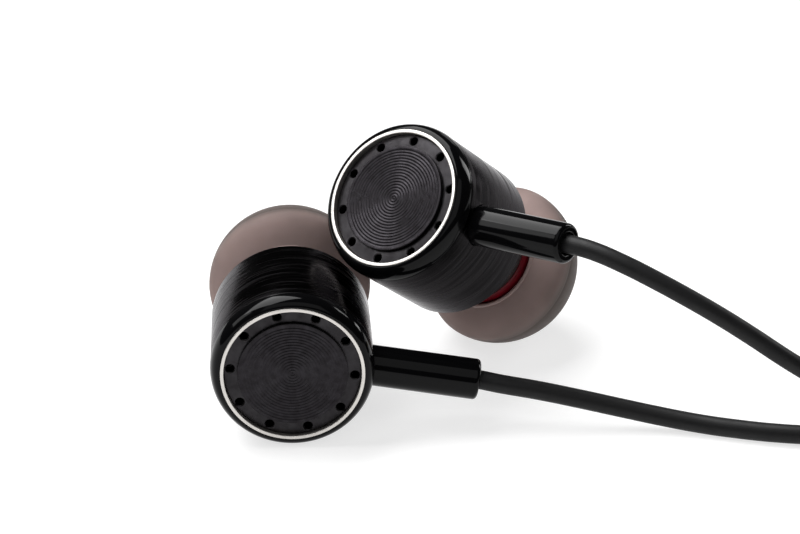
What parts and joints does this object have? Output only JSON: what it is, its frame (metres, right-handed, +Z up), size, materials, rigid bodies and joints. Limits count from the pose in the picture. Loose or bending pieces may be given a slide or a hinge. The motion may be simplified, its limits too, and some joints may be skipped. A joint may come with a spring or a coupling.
{
  "type": "wired earphones",
  "caption": "Wired in-ear earphones with vented back discs, brushed metal barrels, silicone tips, coiled cables and a straight audio plug.",
  "frame": {"origin": "on the surface that the earphones lie on, below the middle of the two earphones' common box, cables and plug left out", "axes": "+Z up from that surface; +X towards the cables and the plug; +Y the way the left earphone's tip points"},
  "size_m": [0.1224, 0.0304, 0.0197],
  "materials": {
    "gloss_black": "high gloss black lacquer",
    "silver": "polished, diamond-cut edge",
    "dark_plate": "satin dark grey",
    "spun_disc": "dark, turned in fine concentric rings",
    "brushed_black": "black, brushed round the barrel",
    "red_ring": "dark red anodised, satin",
    "black_plastic": "fine satin moulding",
    "steel_mesh": "woven wire mesh",
    "felt": "pressed felt",
    "silicone": "smoky translucent, satin",
    "frame_plastic": "moulded, plain",
    "plated_steel": "nickel plated",
    "magnet": "nickel plated neodymium",
    "copper_wire": "enamelled copper winding",
    "film": "thin clear-amber film",
    "circuit_board": "green solder mask",
    "cable_rubber": "matte black elastomer",
    "tie_plastic": "flat plastic-covered wire",
    "gold": "gold plated",
    "insulator": "moulded black"
  },
  "bodies": {
    "root": {"left_bezel": "gloss_black", "left_trim_ring": "silver", "left_vent_plate": "dark_plate", "left_centre_disc": "spun_disc", "left_barrel": "brushed_black", "left_stem": "gloss_black", "left_nozzle_housing": "black_plastic", "left_front_ring": "red_ring", "left_nozzle_mesh": "steel_mesh", "left_damper": "felt", "left_driver_frame": "frame_plastic", "left_driver_yoke": "plated_steel", "left_driver_magnet": "magnet", "left_driver_top_plate": "plated_steel", "left_driver_cover": "plated_steel", "left_terminal_board": "circuit_board", "right_bezel": "gloss_black", "right_trim_ring": "silver", "right_vent_plate": "dark_plate", "right_centre_disc": "spun_disc", "right_barrel": "brushed_black", "right_stem": "gloss_black", "right_nozzle_housing": "black_plastic", "right_front_ring": "red_ring", "right_nozzle_mesh": "steel_mesh", "right_damper": "felt", "right_driver_frame": "frame_plastic", "right_driver_yoke": "plated_steel", "right_driver_magnet": "magnet", "right_driver_top_plate": "plated_steel", "right_driver_cover": "plated_steel", "right_terminal_board": "circuit_board", "left_cable": "cable_rubber", "left_coil": "cable_rubber", "left_cable_tail": "cable_rubber", "right_cable": "cable_rubber", "right_coil": "cable_rubber", "right_cable_tail": "cable_rubber", "branch_coil_tie": "tie_plastic", "y_split": "black_plastic", "main_cable_head": "cable_rubber", "main_coil": "cable_rubber", "main_cable_tail": "cable_rubber", "main_coil_tie": "tie_plastic", "plug_relief": "cable_rubber", "plug_grip": "black_plastic", "plug_sleeve": "gold", "plug_ring": "gold", "plug_tip": "gold", "plug_rear_insulator": "insulator", "plug_front_insulator": "insulator"},
    "left_tip": {"left_ear_tip": "silicone"},
    "right_tip": {"right_ear_tip": "silicone"},
    "left_cone": {"left_voice_coil": "copper_wire", "left_diaphragm": "film"},
    "right_cone": {"right_voice_coil": "copper_wire", "right_diaphragm": "film"},
    "slider": {"cinch_slider": "black_plastic"}
  },
  "joints": [
    {"name": "left_tip_pull", "type": "slide", "parent": "root", "child": "left_tip", "axis": [-0.0244, 0.9997, 0], "range_m": [0, 0.008]},
    {"name": "right_tip_pull", "type": "slide", "parent": "root", "child": "right_tip", "axis": [0.5125, 0.5813, -0.632], "range_m": [0, 0.008]},
    {"name": "left_cone_travel", "type": "slide", "parent": "root", "child": "left_cone", "axis": [-0.0244, 0.9997, 0], "range_m": [-0.00015, 0.00015], "stiffness_N_per_m": 40},
    {"name": "right_cone_travel", "type": "slide", "parent": "root", "child": "right_cone", "axis": [0.5125, 0.5813, -0.632], "range_m": [-0.00015, 0.00015], "stiffness_N_per_m": 40},
    {"name": "slider_travel", "type": "slide", "parent": "root", "child": "slider", "axis": [-1, 0, 0], "range_m": [0, 0.0065]}
  ]
}
